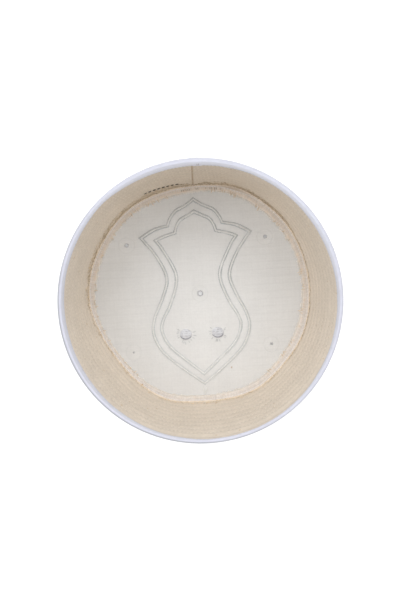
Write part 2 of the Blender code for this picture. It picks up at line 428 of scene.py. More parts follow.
def plainWeave(warpPhase, weftPhase):
    # height of a plain weave, whose threads repeat each time a phase grows by pi
    warp = warpPhase.sine()
    weft = weftPhase.sine()
    over = (warp * weft).between(-0.2, 0.2)
    return over * abs(warp) + (1 - over) * abs(weft)


def shade(colour, factor):
    return tuple(channel * factor for channel in colour)


print("cap: placing and shader helpers ready")


# The side wall's cloths

wall = {
    "columns": 384,
    "innerSteps": 78,
    "outerSteps": 44,
    "cornerSteps": 6,
    "crowdReach": 7.0,          # degrees on each side of the back seam in which the columns crowd
    "stitchRows": 9,
    "firstRow": 0.0041,         # above the crown's inside
    "rowPitch": 0.0083,
    "ribRise": 0.00040,         # how far the felt swells between two rows
    "sag": 0.00035,             # slow unevenness of the stiff felt
    "sagSize": 0.028,
    "rowDrift": 0.00045,        # how far the rows wander up and down
    "stitches": 212,            # in a row
    "stitchLength": 0.0019,
    "stitchWidth": 0.00060,
    "thread": (0.765, 0.69, 0.59),
    "beige": (0.668, 0.592, 0.500),
    "threads": 920,             # yarns round the wall, an even number
    "yarnPitch": 0.0006,
    "brown": (0.47, 0.325, 0.155),
    "ochre": (0.88, 0.70, 0.45),
    "pale": (0.82, 0.74, 0.65),
    "low": (0.81, 0.715, 0.605),    # painted light: a lighter copy of the beige, blended in low on the wall
    "creases": ((282.0, 0.0258, 13.0), (271.5, 0.0240, 3.0)),   # bearing, height and half sweep
}

# How far up the wall its gathered, frayed foot shows brown, a brown that is partly painted shade: bearing and
# height in millimetres.
footRound = (
    (0, 3.5), (30, 7.0), (50, 10.0), (62, 13.0), (73, 16.5), (84, 13.0), (95, 10.0), (104, 17.0), (114, 19.5),
    (122, 17.5), (135, 16.5), (150, 15.0), (165, 13.0), (180, 10.5), (200, 7.0), (220, 6.0), (250, 7.0),
    (280, 8.0), (310, 7.0), (340, 4.5),
)
footHeight = roundTable(footRound, 1)


def beigeBacking():
    # woven beige backing cloth, quilted in rows, browner where it is gathered into the crown seam, a brown
    # that is partly painted shade; painted shade also darkens the rows and the back seam's groove, and
    # painted light lightens the wall low down
    material, place = newCloth("beigeBackingCloth", 0.93, 0.12)
    x, y, z = place.parts()
    turn = place.maths("ARCTAN2", y, x)
    back = y / rimRadius
    weave = plainWeave(turn * (wall["threads"] / 2), z * (math.pi / wall["yarnPitch"]))
    upright = place.scaled(1.0, 1.0, 0.12).grain(1100.0, 1.0)
    level = place.scaled(0.25, 0.25, 1.0).grain(1100.0, 1.0)
    blotch = place.grain(60.0, 3.0)
    fleck = place.grain(380.0)
    tone = 0.26 * upright + 0.16 * level + 0.30 * blotch + 0.42 * fleck + 0.16 * weave
    # painted light: the wall lightens towards its foot, from the beige to its lighter copy
    low = 0.34 * z.fading(0.020, 0.055) + 0.30 * z.fading(0.004, 0.020) + 0.36 * z.fading(0.0022, 0.0070)
    dark = low.blend(shade(wall["beige"], 0.86), shade(wall["low"], 0.86))
    light = low.blend(shade(wall["beige"], 1.10), shade(wall["low"], 1.10))
    # painted shade: darker along each stitched row, in the channel where the felt is pressed in
    row = (z - cap["felt"] - wall["firstRow"]) / wall["rowPitch"]
    channel = abs((row * math.pi).sine()).fading(0.05, 0.32)
    nep = place.grain(290.0, 1.0).between(0.735, 0.775)
    frayAndShade = place.attribute("foot")     # how much of the gathered, frayed backing, and of the painted shade at the wall's foot, each point has
    patchy = place.scaled(1.0, 1.0, 0.35).grain(330.0, 3.0, 0.65).between(0.30, 0.68)
    backHalf = back.between(-0.5, 0.6)
    groove = turn.near(math.radians(cap["backSeam"]), 0.0085)
    crease = sum(
        z.near(height, 0.0011) * turn.near(math.radians(bearing - 360.0), math.radians(sweep))
        for bearing, height, sweep in wall["creases"]
    )
    colour = layered(
        tone.between(0.35, 1.0).blend(dark, light),
        (0.36 * channel, shade(wall["beige"], 0.62)),
        (0.6 * nep, wall["brown"]),
        (frayAndShade * (1 - backHalf) * (0.05 + 0.30 * patchy), wall["ochre"]),
        # partly painted shade: the wall's foot browner towards the back, together with the frayed backing
        (frayAndShade * backHalf * (0.30 + 0.70 * patchy) * 0.64, wall["brown"]),
        (0.13 * back.between(0.2, 0.9), wall["brown"]),
        # painted shade in the back seam's groove
        (0.42 * groove, wall["brown"]),
        (0.65 * crease, wall["pale"]),
    )
    height = 0.55 * weave + 0.45 * upright + 0.25 * level + 0.6 * fleck + 1.2 * crease
    return dress(material, colour, height, 0.00022, 0.65)


feltOutside = {
    "white": (0.56, 0.56, 0.555),
    "thread": (0.66, 0.66, 0.655),
    "yarnPitch": 0.0005,
}


def whiteFelt(name, drum):
    # white outer cloth over felt; on the drum it follows the bearing, on the crown it lies flat
    material, place = newCloth(name, 0.90, 0.20)
    x, y, z = place.parts()
    yarn = math.pi / feltOutside["yarnPitch"]
    if drum:
        weave = plainWeave(place.maths("ARCTAN2", y, x) * round(rimRadius * yarn), z * yarn)
    else:
        weave = plainWeave(x * yarn, y * yarn)
    fibre = place.grain(900.0, 3.0, 0.6)
    cloud = place.grain(45.0)
    tone = 0.5 * fibre + 0.5 * cloud + 0.15 * weave
    colour = tone.between(0.3, 0.85).blend(shade(feltOutside["white"], 0.93), feltOutside["white"])
    return dress(material, colour, 0.6 * weave + fibre + 0.5 * cloud, 0.00020, 0.6)


def wallRowHeight(number, bearing):
    base = cap["felt"] + wall["firstRow"] + wall["rowPitch"] * number
    return base + wall["rowDrift"] * wobble(bearing, 0.0, 0.030, 5.0)


def wallRelief(bearing, height):
    # how far the felt stands inwards of a plain cone: ribs between the rows, slow swells
    level = height - wallRowHeight(0, bearing)
    rib = wall["ribRise"] * abs(math.sin(math.pi * level / wall["rowPitch"])) ** 0.7
    rib *= 1.0 - ease((height - (feltTop - tape["outerHem"])) / 0.003)
    sag = wall["sag"] * wobble(bearing, height, wall["sagSize"], 1.0)
    sag *= ease((height - cap["felt"]) / 0.006) * (1.0 - ease((height - 0.070) / 0.008))
    return rib + sag


def backSeamDip(bearing, depth, lips):
    # a groove between two soft lips
    offset = math.radians(apart(bearing, cap["backSeam"])) * rimRadius
    groove = depth * math.exp(-(offset / 0.00045) ** 2)
    lip = lips * math.exp(-((abs(offset) - 0.0014) / 0.0007) ** 2)
    return lip - groove


def crowdColumns(bearing):
    # columns crowd towards the back seam, so that its groove is sharp
    reach = wall["crowdReach"]
    offset = apart(bearing, cap["backSeam"])
    if abs(offset) < reach:
        offset = math.copysign(reach * (abs(offset) / reach) ** 2.3, offset)
    return cap["backSeam"] + offset


def innerFace(bearing, height):
    radius = wallMiddle(bearing, height) - wallHalf(bearing, height)
    return radius - wallRelief(bearing, height) - backSeamDip(bearing, 0.0008, 0.0003)


def outerFace(bearing, height):
    radius = wallMiddle(bearing, height) + wallHalf(bearing, height)
    return radius + wallRelief(bearing, height) + backSeamDip(bearing, 0.0004, 0.0002)


def sideWall():
    half = cap["felt"] / 2
    corner = cap["corner"]
    top = feltTop - tape["thickness"]
    bottom = cap["felt"]
    near = 1e-6
    section = [(-half, bottom + (top - bottom) * share) for share in evenly(wall["innerSteps"])]
    section += [(half, top + (corner - top) * share) for share in evenly(wall["outerSteps"])]
    for share in evenly(wall["cornerSteps"])[1:]:
        angle = math.radians(90.0 * share)
        section.append((half - corner * (1 - math.cos(angle)), corner * (1 - math.sin(angle))))
    shape = spinSection(section, wall["columns"])

    def place(bearing, across, height):
        bearing = crowdColumns(bearing)
        if height >= corner - near and across > 0:
            return bearing, outerFace(bearing, height), height
        if height >= bottom - near and across < half - corner + near or abs(across + half) < near:
            return bearing, innerFace(bearing, height), height
        return bearing, seamRadius(bearing) + half + across, height

    carryRound(shape, place)
    foot = shape.verts.layers.float.new("foot")
    for vert in shape.verts:
        vert[foot] = 1.0 - ease((vert.co.z - cap["felt"]) / footHeight(bearingOf(vert.co)) / 1.15)
    for face in shape.faces:
        centre = face.calc_center_median()
        inside = math.hypot(centre.x, centre.y) < wallMiddle(bearingOf(centre), centre.z)
        face.material_index = 0 if inside and centre.z > bottom * 0.99 else 1
    cloths = [beigeBacking(), whiteFelt("whiteFeltWall", True)]
    piece = finishPiece("sideWall", shape, cloths, "beige_backed_felt", "side_band")
    mean = math.tau * wallMiddle(0.0, capHeight / 2)


def threadMaterial(name, colour, roughness=0.75, uneven=0.18):
    # twisted sewing thread: fine slanting plies and a little unevenness along it
    material, place = newCloth(name, roughness, 0.25)
    x, y, z = place.parts()
    ply = ((x + y * 0.7 + z * 1.3) * (math.tau / 0.00034)).sine()
    run = place.grain(700.0)
    tone = run + 0.12 * ply
    shaded = tone.between(0.25, 0.8).blend(shade(colour, 1.0 - uneven), shade(colour, 1.0 + uneven / 2))
    return dress(material, shaded, ply + run, 0.00008, 0.5)


def wallStitches():
    # nine rows of lockstitch, on both faces of the wall
    spacing = 360.0 / wall["stitches"]
    width = wall["stitchWidth"]
    faces = (
        ("wallStitchesInside", innerFace, -1.0, 3.0, "beigeThread", wall["thread"], "beige_backed_felt"),
        ("wallStitchesOutside", outerFace, 1.0, 4.0, "whiteThread", feltOutside["thread"], "white_felt"),
    )
    for name, face, outward, seed, thread, colour, slot in faces:
        rows = []
        for row in range(wall["stitchRows"]):

            def lie(bearing, number, across, height, row=row):
                mark = number + 1000 * row
                start = number * spacing
                along = apart(bearing, start)
                bearing = start + along * (0.85 + 0.3 * chance(mark, seed)) + 0.37 * row
                tilt = 0.00018 * (chance(mark, seed + 1) - 0.5) * along / spacing
                level = wallRowHeight(row, bearing) + height + tilt + 0.0001 * (chance(mark, seed + 2) - 0.5)
                return bearing, face(bearing, level) + (across + 0.00006) * outward, level

            rows.append(stitchRound(wall["stitches"], wall["stitchLength"], width, width * 0.42, lie))
        finishThread(name, gather(rows), thread, colour, slot=slot)


sideWall()
print("cap: side wall done")
wallStitches()
print("cap: wall stitching done")


# The rim tape

tapeCloth = {
    "white": (0.560, 0.567, 0.648),
    "hem": (0.85, 0.88, 1.0),       # painted light: a lighter copy of the tape for its inner hem, which stands in shade
    "foldEdgeShade": (0.34, 0.345, 0.37),    # painted shade along the fold's outer edge
    "twillPitch": 0.0005,
}


def cottonTape():
    # smooth bluish-white cotton tape with a fine twill and faint cross puckers
    material, place = newCloth("cottonTape", 0.82, 0.15)
    x, y, z = place.parts()
    across = place.attribute("across")
    white = tapeCloth["white"]
    twills = math.tau / tapeCloth["twillPitch"]
    twill = (place.maths("ARCTAN2", y, x) * round(rimRadius * twills) + z * twills).sine()
    pucker = place.scaled(1.0, 1.0, 0.25).grain(240.0)
    tone = 0.7 * pucker + 0.5 * place.grain(50.0) + 0.06 * twill
    # painted light: the inner hem lightened, most towards the back where it faces away from the light
    paintedHemLight = 0.36 + 0.58 * (y / rimRadius).between(-0.1, 0.85)
    # painted shade along the fold's outer edge, strongest at the front left
    frontLeft = ((-0.72 * x - 0.70 * y) / rimRadius).between(-0.2, 1.0)
    colour = layered(
        tone.between(0.35, 0.9).blend(shade(white, 0.93), shade(white, 1.03)),
        (across.fading(-0.40, 0.02) * paintedHemLight, tapeCloth["hem"]),
        # painted shade along the inner hem's edge, where it meets the wall
        (0.30 * across.fading(-1.0, -0.55), shade(white, 0.62)),
        (across.near(0.16, 0.22) * (0.24 + 0.74 * frontLeft), tapeCloth["foldEdgeShade"]),
    )
    return dress(material, colour, 0.35 * twill + 1.6 * pucker, 0.00018, 0.5)


def tapeHem(bearing):
    upper = ease((math.sin(math.radians(bearing)) - 0.05) / 0.6)
    reach = 1.2 * hemReach(bearing) - 0.0004 + 0.0024 * upper
    return feltTop - reach + tape["hemWobble"] * wobble(bearing, 0.0, 0.014, 2.0)


def tapePlace(bearing, share, outside, lift=0.0):
    # share runs from -1 at the inner hem over 0 at the top of the fold to 1 at the outer hem
    half = pressedFelt(bearing) / 2 + cap["hair"]
    off = half + outside * tape["thickness"] + lift
    rise = half * tape["foldFlat"] + outside * tape["thickness"] + lift
    shoulder = capHeight - tape["thickness"] - half * tape["foldFlat"]
    if abs(share) <= tape["foldShare"]:
        angle = math.radians(90.0 * share / tape["foldShare"])
        return wallMiddle(bearing, shoulder) + off * math.sin(angle), shoulder + rise * math.cos(angle)
    down = (abs(share) - tape["foldShare"]) / (1 - tape["foldShare"])
    foot = tapeHem(bearing) if share < 0 else feltTop - tape["outerHem"]
    height = shoulder + (foot - shoulder) * down
    wave = tape["pucker"] * wobble(bearing, height, tape["puckerSize"], 3.0) * down
    lean = tape["innerLean"] * down if share < 0 else 0.0
    return wallMiddle(bearing, height) + math.copysign(off + abs(wave) + lean, share), height


def tapeSection():
    # share along the tape as across, layer as height, both scaled down for the spin
    fold = tape["foldShare"]
    leg = [fold + (1 - fold) * share for share in evenly(tape["legRows"])[1:]]
    shares = [-share for share in reversed(leg)]
    shares += [fold * (2 * share - 1) for share in evenly(tape["foldRows"])] + leg
    section = [(-1.004, 0.0033), (-1.004, 0.0066)] + [(share, 0.01) for share in shares]
    section += [(1.004, 0.0066), (1.004, 0.0033)] + [(share, 0.0) for share in reversed(shares)]
    return [(share / 100, layer) for share, layer in section]


def spinTape(steps, sweep=360.0):
    # keeps each point's share across the tape for its cloth
    shape = spinSection(tapeSection(), steps, sweep)
    across = shape.verts.layers.float.new("across")
    for vert in shape.verts:
        vert[across] = (math.hypot(vert.co.x, vert.co.y) - cap["drum"]) * 100
    return shape


def rimTape():
    shape = spinTape(tape["columns"])

    def place(bearing, across, height):
        return bearing, *tapePlace(bearing, across * 100, height * 100)

    carryRound(shape, place)
    cloth = cottonTape()
    piece = finishPiece("rimTape", shape, [cloth], "white_tape", "rim_binding")

    # the tape's end laps over its start beside the back seam
    lap = spinTape(12, tape["lapSweep"])

    def lapPlace(bearing, across, height):
        side = (bearing - tape["lapStart"]) / tape["lapSweep"]
        edge = min(ease(side / tape["lapSoft"]), ease((1 - side) / tape["lapSoft"]))
        bearing += tape["lapSlant"] * across * 100
        return bearing, *tapePlace(bearing, across * 100, height * 100, tape["lapLift"] * edge - 0.00003)

    carryRound(lap, lapPlace, tape["lapStart"])
    bmesh.ops.holes_fill(lap, edges=[edge for edge in lap.edges if edge.is_boundary], sides=0)
    finishPiece("tapeLap", lap, [cloth], "white_tape")


def tapeStitches():
    width = tape["stitchWidth"]
    leg = 1 - tape["foldShare"]

    def inner(bearing):
        return -1 + leg * min(tape["stitchIn"] / (feltTop - tapeHem(bearing)), 0.5)

    def outer(bearing):
        return 1 - leg * tape["stitchIn"] / tape["outerHem"]

    rows = []
    for share in (inner, outer):

        def lie(bearing, number, across, height, share=share):
            radius, level = tapePlace(bearing, share(bearing), 1.0)
            return bearing, radius + math.copysign(1.0, share(bearing)) * (across + 0.00002), level + height

        rows.append(stitchRound(tape["stitches"], tape["stitchLength"], width, width * 0.4, lie))
    finishThread("tapeStitches", gather(rows), "tapeThread", (0.60, 0.61, 0.66), slot="white_tape")

    # a few dark tacks hold the lap
    ticks = bmesh.new()
    for bearing in (90.75, 91.15, 91.55):
        for share in (-0.62, -0.80):
            centre = around(bearing, *tapePlace(bearing, share, 1.0))
            addStitch(ticks, centre, centre, 0.0016 + 0.0006 * chance(bearing, share), 0.00035, 0.00035)
    finishThread("lapTacks", ticks, "darkThread", (0.16, 0.11, 0.08))


rimTape()
tapeStitches()
print("cap: rim tape done")


# The crown

crown = {
    "columns": 240,
    "rings": 52,
    "underRings": 12,
    "sag": 0.00012,
    "sagSize": 0.022,
    "shift": (-0.00037, 0.00080),       # of the embroidery and vents from the middle
    "vents": (                          # place on the crown and radius
        (0.0007, 0.0010, 0.00145), (0.0505, 0.0392, 0.0009), (0.0505, -0.0392, 0.00065),
        (-0.0505, 0.0392, 0.0010), (-0.0505, -0.0392, 0.00035),
    ),
    "ventCreases": 0.0057,      # radius of the faint ring round each vent
    "offWhite": (0.690, 0.688, 0.680),
    "yarnPitch": 0.00055,
    "rowPitch": 0.0054,
    "embroideryDepth": 0.0003,  # the outside embroidery stands this far out, down to the floor
}
sewnTurn = Matrix.Rotation(math.radians(cap["crownTurn"]), 2)


def onCrown(x, y):
    # a place in the crown's own axes, turned as it was sewn in
    return sewnTurn @ Vector((x, y)) + Vector(crown["shift"])


def crownSkin(at):
    # height of the crown's inside
    return cap["felt"] + crown["sag"] * noise.noise(Vector((at.x, at.y, 0.0)) / crown["sagSize"])


def addCrownStitch(shape, at, lift, along, length, width, rise):
    # a thread on the crown's inside
    addStitch(shape, Vector((at.x, at.y, crownSkin(at) + lift)), along, length, width, rise)


def crownBacking(name="offWhiteBackingCloth", fullness=1.0):
    # off-white woven backing, with faint woven rows and a pressed ring round each vent
    material, place = newCloth(name, 0.92, 0.15)
    own = place.turned(-cap["crownTurn"])
    x, y, z = own.parts()
    white = crown["offWhite"]
    yarn = math.pi / crown["yarnPitch"]
    weave = plainWeave(x * yarn, y * yarn)
    level = own.scaled(0.05, 1.0, 1.0).grain(1100.0, 1.0)
    upright = own.scaled(1.0, 0.05, 1.0).grain(900.0, 1.0)
    blotch = own.grain(45.0, 3.0)
    fibre = own.grain(700.0)
    tone = 0.24 * level + 0.22 * upright + 0.36 * blotch + 0.32 * fibre + 0.12 * weave
    phase = (y + 0.0006 * own.grain(40.0, 1.0)) * (math.tau / crown["rowPitch"])
    ribs = (phase.sine() + 0.7 * (2 * phase).sine()).between(-0.4, 1.6) * abs(x).between(0.018, 0.046)
    ring = sum(
        place.distance((*onCrown(*vent[:2]), cap["felt"])).near(crown["ventCreases"], 0.0009)
        for vent in crown["vents"]
    )
    colour = layered(
        tone.between(0.35, 0.95).blend(shade(white, 0.93 * fullness), shade(white, 1.05 * fullness)),
        (0.13 * ribs, shade(white, 0.84)),
        (0.16 * ring, shade(white, 0.78)),
    )
    height = 0.5 * weave + 0.4 * level + 0.4 * upright + 0.4 * fibre - 0.35 * ribs - 0.8 * ring
    return dress(material, colour, height, 0.00018, 0.5)


def crownPanel():
    felt = cap["felt"]
    lift = crown["embroideryDepth"]
    section = [(share, felt) for share in evenly(crown["rings"])]
    section += [(1.004, felt * 0.7), (1.006, felt * 0.4), (1.004, lift + 0.0002)]
    section += [(share, lift) for share in reversed(evenly(crown["underRings"]))]
    points = [((share - 1) * cap["drum"], height) for share, height in section]
    shape = spinSection(points, crown["columns"], closed=False)

    def place(bearing, across, height):
        share = 1 + across / cap["drum"]
        radius = share * (seamRadius(bearing) - cap["seamTuck"] - cap["hair"])
        if height > felt * 0.9:
            height += (crownSkin(around(bearing, radius)) - felt) * (1 - ease((share - 0.85) / 0.1))
        return bearing, radius, height

    carryRound(shape, place)
    for face in shape.faces:
        face.material_index = 0 if face.calc_center_median().z > felt * 0.6 else 1
    cloths = [crownBacking(), whiteFelt("whiteFeltCrown", False)]
    piece = finishPiece("crownPanel", shape, cloths, "white_felt", "crown_panel")
    cutVents(piece)


def cutVents(piece):
    # round vents through the felt, cut with pins that are then thrown away
    pins = bmesh.new()
    for x, y, radius in crown["vents"]:
        bmesh.ops.create_cone(
            pins, cap_ends=True, segments=28, depth=0.01, radius1=radius, radius2=radius,
            matrix=Matrix.Translation(onCrown(x, y).to_3d()),
        )
    mesh = meshOf("ventPins", pins)
    tool = linked("ventPins", mesh)
    cut = piece.modifiers.new("vents", "BOOLEAN")
    cut.operation = "DIFFERENCE"
    cut.solver = "EXACT"
    cut.object = tool
    done = finishedMesh(piece)
    piece.modifiers.clear()
    old = piece.data
    piece.data = done
    done.name = old.name
    bpy.data.meshes.remove(old)
    bpy.data.objects.remove(tool)
    bpy.data.meshes.remove(mesh)


# The sandal outline in the crown's own axes, toe first, in millimetres: the border's outer edge, its inner
# edge, and whether the outline has a corner there.
sandalHalf = (
    (0.0, 71.0, 0.0, 59.8, True), (6.0, 66.8, 5.3, 57.1, False), (14.2, 62.7, 10.3, 54.4, False),
    (18.9, 56.8, 13.0, 50.2, False), (20.5, 52.5, 14.4, 45.4, True), (31.0, 50.1, 21.5, 43.6, False),
    (41.2, 44.2, 28.1, 41.2, True), (30.4, 29.5, 23.4, 34.0, False), (23.9, 13.5, 15.0, 14.5, False),
    (27.9, -0.5, 20.0, -4.5, False), (34.5, -15.0, 26.8, -17.2, False), (36.0, -27.0, 28.1, -25.4, False),
    (29.8, -41.0, 22.7, -36.6, False), (15.0, -54.8, 9.5, -48.9, False), (0.0, -66.2, 0.0, -57.3, True),
)

embroidery = {
    "scale": 0.000995,          # metres to a unit of the outline
    "curveSteps": 7,            # points between two knots of the outline
    "lines": (0.0, 0.21, 0.79, 1.0),    # shares from the border's outer edge to its inner one
    "columns": (0.105, 0.895),  # middles of the two satin columns
    "columnWidth": 0.00135,
    "columnRise": 0.00028,
    "stitchPitch": 0.00125,
    "stitchLength": 0.00130,
    "stitchWidth": 0.00102,
    "grey": (0.42, 0.435, 0.44),
    # painted light: a paler copy of the grey, for the heel end of the outline
    "heelLitGrey": (0.56, 0.58, 0.58),
    "white": (0.80, 0.80, 0.785),
    "bandRise": 0.00025,
    "dotPlace": (0.0117, -0.0282),
    "dotRadius": 0.0043,
    "dotFlat": 0.86,
    "dotRise": 0.0013,
    "dotWhite": (0.70, 0.71, 0.745),
    "dotBars": ((0.10, 0.62), (-0.32, 0.78), (0.50, 0.5)),  # place across a dot and length, in its radii
    "rays": 27,
    "shades": 24,
}


def smoothRun(points, steps):
    # points along a smooth curve through the given ones, without the last
    padded = [points[0]] + points + [points[-1]]
    run = []
    for before, start, end, after in zip(padded, padded[1:], padded[2:], padded[3:]):
        for t in evenly(steps)[:-1]:
            run.append(
                0.5 * (2 * start + t * (end - before)
                       + t * t * (2 * before - 5 * start + 4 * end - after)
                       + t * t * t * (3 * start - before - 3 * end + after))
            )
    return run


def sandalOutline(inward):
    # the closed outline on the turned crown; inward is 0 at the border's outer edge, 1 at its inner one
    half = []
    run = []
    for outerX, outerY, innerX, innerY, corner in sandalHalf:
        run.append(Vector((outerX, outerY)).lerp(Vector((innerX, innerY)), inward) * embroidery["scale"])
        if corner and len(run) > 1:
            half += smoothRun(run, embroidery["curveSteps"])
            run = run[-1:]
    whole = half + run + [Vector((-point.x, point.y)) for point in reversed(half[1:])]
    return [onCrown(point.x, point.y) for point in whole]


def finishedMesh(piece):
    # the object's mesh as its modifiers or its curve settings leave it
    bpy.context.view_layer.update()
    return bpy.data.meshes.new_from_object(piece.evaluated_get(bpy.context.evaluated_depsgraph_get()))


def curveShape(name, inwards, **settings):
    # the sandal outline as a curve, flat or round, turned into a mesh
    curve = bpy.data.curves.new(name, "CURVE")
    for key, value in settings.items():
        setattr(curve, key, value)
    for inward in inwards:
        outline = sandalOutline(inward)
        spline = curve.splines.new("POLY")
        spline.points.add(len(outline) - 1)
        for point, place in zip(spline.points, outline):
            point.co = (place.x, place.y, 0.0, 1.0)
        spline.use_cyclic_u = True
    guide = linked(name, curve)
    mesh = finishedMesh(guide)
    shape = bmesh.new()
    shape.from_mesh(mesh)
    bmesh.ops.remove_doubles(shape, verts=shape.verts, dist=1e-6)
    bpy.data.objects.remove(guide)
    bpy.data.curves.remove(curve)
    bpy.data.meshes.remove(mesh)
    return shape


def sandalBand():
    # the cloth between the two satin columns, lifted a little by the embroidery behind it
    shape = curveShape(
        "sandalBand", embroidery["columns"],
        dimensions="2D", fill_mode="BOTH", extrude=0.0004, bevel_depth=0.0001, bevel_resolution=1,
    )
    bmesh.ops.translate(shape, verts=shape.verts, vec=(0, 0, cap["felt"] - 0.0005 + embroidery["bandRise"]))
    finishPiece("sandalBand", shape, [crownBacking("bandBackingCloth", 1.02)], "white_felt")


def satinColumns():
    # two cords of close satin stitch on each side of the crown, white over the cloth
    parts = []
    half = embroidery["columnWidth"] / 2
    lift = crown["embroideryDepth"]
    inside = (cap["felt"] + 0.00005, embroidery["columnRise"] + embroidery["bandRise"])
    for level, rise in (inside, (lift, lift)):
        for inward in embroidery["columns"]:
            shape = curveShape(
                "satinColumn", [inward], dimensions="3D", bevel_depth=half, bevel_resolution=2,
            )
            bmesh.ops.scale(shape, verts=shape.verts, vec=(1, 1, rise / half))
            bmesh.ops.translate(shape, verts=shape.verts, vec=(0, 0, level))
            parts.append(shape)
    thread = satinThread("satinThread", embroidery["white"])
    finishPiece("satinColumns", gather(parts), [thread], "white_felt")


def satinThread(name, colour):
    # close parallel threads with a soft gloss
    material, place = newCloth(name, 0.55, 0.25)
    own = place.turned(-cap["crownTurn"])
    x, y, z = own.parts()
    warp = 0.0004 * own.grain(260.0)
    thread = ((y + warp) * (math.tau / 0.00042)).sine()
    slant = ((x + warp) * (math.tau / 0.00047)).sine()
    lay = own.grain(90.0).between(0.42, 0.58)
    ridge = lay * thread + (1 - lay) * slant
    run = own.grain(500.0)
    tone = 0.7 * run + 0.14 * ridge + 0.2
    shaded = tone.between(0.3, 0.8).blend(shade(colour, 0.84), shade(colour, 1.06))
    return dress(material, shaded, ridge + run, 0.00012, 0.6)


def outlineStitches():
    # grey thread ends along both sides of each satin column
    shape = bmesh.new()
    number = 0
    for inward in embroidery["lines"]:
        line = sandalOutline(inward)
        lift = 0.00018 + (embroidery["bandRise"] if 0.1 < inward < 0.9 else 0.0)
        carried = 0.0
        for start, end in zip(line, line[1:] + line[:1]):
            stride = end - start
            while carried < stride.length:
                number += 1
                at = start + stride * (carried / stride.length)
                at += Vector((-stride.y, stride.x)).normalized() * 0.00016 * (chance(number) - 0.5)
                slant = math.radians(34.0) * (chance(number, 1) - 0.35)
                along = Matrix.Rotation(slant, 2) @ stride
                length = embroidery["stitchLength"] * (0.8 + 0.45 * chance(number, 2))
                addCrownStitch(shape, at, lift, along, length, embroidery["stitchWidth"], 0.00020)
                carried += embroidery["stitchPitch"] * (0.9 + 0.2 * chance(number, 3))
            carried -= stride.length
    finishPiece("outlineStitches", shape, [greyThread()], "white_felt")


def greyThread():
    # the outline's grey thread, paler from the toe to the heel as painted light, and paler in patches of wear
    material, place = newCloth("greyThread", 0.6, 0.25)
    x, y, z = place.parts()
    # painted light: the thread is paler towards the heel, where more light falls on it
    toe = (y / cap["crownRadius"]).between(-0.55, 0.45)
    colour = layered(
        toe.blend(embroidery["heelLitGrey"], embroidery["grey"]),
        (0.50 * place.grain(120.0).between(0.46, 0.66), shade(crown["offWhite"], 0.98)),
    )
    return dress(material, colour, place.grain(700.0), 0.00008, 0.5)


def satinDots():
    # raised dots of close satin stitch with short rays; the dark grey stitches along their lower edges are
    # painted shade, and dark bars cross the dots
    domes = bmesh.new()
    rays = bmesh.new()
    shades = bmesh.new()
    radius = embroidery["dotRadius"]
    depth = crown["embroideryDepth"]
    last = embroidery["shades"] - 1
    for side in (1, -1):
        centre = onCrown(side * embroidery["dotPlace"][0], embroidery["dotPlace"][1])
        for level, rise in ((cap["felt"], embroidery["dotRise"]), (depth, depth)):
            size = Matrix.Diagonal((radius, radius * embroidery["dotFlat"], rise, 1.0))
            bmesh.ops.create_uvsphere(
                domes, u_segments=36, v_segments=16, radius=1.0,
                matrix=Matrix.Translation((centre.x, centre.y, level)) @ size,
            )
        for ray in range(embroidery["rays"]):
            mark = ray + 50 * side
            out = around(360.0 * (ray + 0.5 * chance(mark)) / embroidery["rays"]).xy
            length = 0.0015 + 0.0013 * chance(mark, 1)
            at = centre + out * (radius + 0.0002 + 0.5 * length + 0.0009 * chance(mark, 2))
            if out.y < 0.55 and chance(mark, 3) > 0.3:
                addCrownStitch(rays, at, 0.0001, out, length, 0.00062, 0.00020)
        # painted shade: a crescent of dark stitches along each dot's lower edge
        for number in range(last + 1):
            mark = number + 90 * side
            out = around(-150.0 + 125.0 * number / last)
            deep = math.sin(math.pi * number / last)
            edge = Vector((out.x, out.y * embroidery["dotFlat"]))
            at = centre + edge * radius * (0.99 - 0.07 * deep * chance(mark))
            lift = 0.0003 + 0.0003 * chance(mark, 1)
            addCrownStitch(shades, at, lift, Vector((-out.y, out.x)), 0.0013, 0.0003 + 0.0007 * deep, 0.00030)
        for number, (across, reach) in enumerate(embroidery["dotBars"]):
            level = cap["felt"] + embroidery["dotRise"] * math.sqrt(1.0 - across * across) + 0.00002
            for part in (-1, 0, 1):
                at = centre + sewnTurn @ Vector((radius * (0.42 * part + 0.06 * number), radius * across))
                spot = Vector((at.x, at.y, level - 0.0001 - 0.0002 * abs(part)))
                along = sewnTurn @ Vector((1, 0.1 * part))
                addStitch(shades, spot, along, radius * reach, 0.00032, 0.00012)
    finishPiece("satinDots", domes, [satinThread("dotThread", embroidery["dotWhite"])], "white_felt")
    finishThread("dotRays", rays, "rayThread", (0.57, 0.585, 0.58), 0.6, 0.25, "white_felt")
    finishThread("dotShades", shades, "shadeThread", (0.37, 0.37, 0.41), 0.6, 0.25, "white_felt")


def ventThreads():
    # overcast stitches round each vent
    shape = bmesh.new()
    for vent, (x, y, radius) in enumerate(crown["vents"]):
        centre = onCrown(x, y)
        count = max(6, round(14000 * radius))
        for stitch in range(count):
            mark = stitch + 40 * vent
            out = around(360.0 * (stitch + 0.4 * chance(mark)) / count).xy
            length = (0.0009 + 0.0005 * chance(mark, 1)) * (0.45 + 400 * radius)
            at = centre + out * (radius + 0.30 * length)
            addCrownStitch(shape, at, 0.00006, out, length, 0.00040, 0.00022)
    finishThread("ventThreads", shape, "ventThread", (0.48, 0.48, 0.50), 0.7, 0.25, "white_felt")


crownPanel()
print("cap: crown done")
sandalBand()
satinColumns()
outlineStitches()
satinDots()
ventThreads()
print("cap: embroidery and vents done")


# The overlocked edge of the crown seam

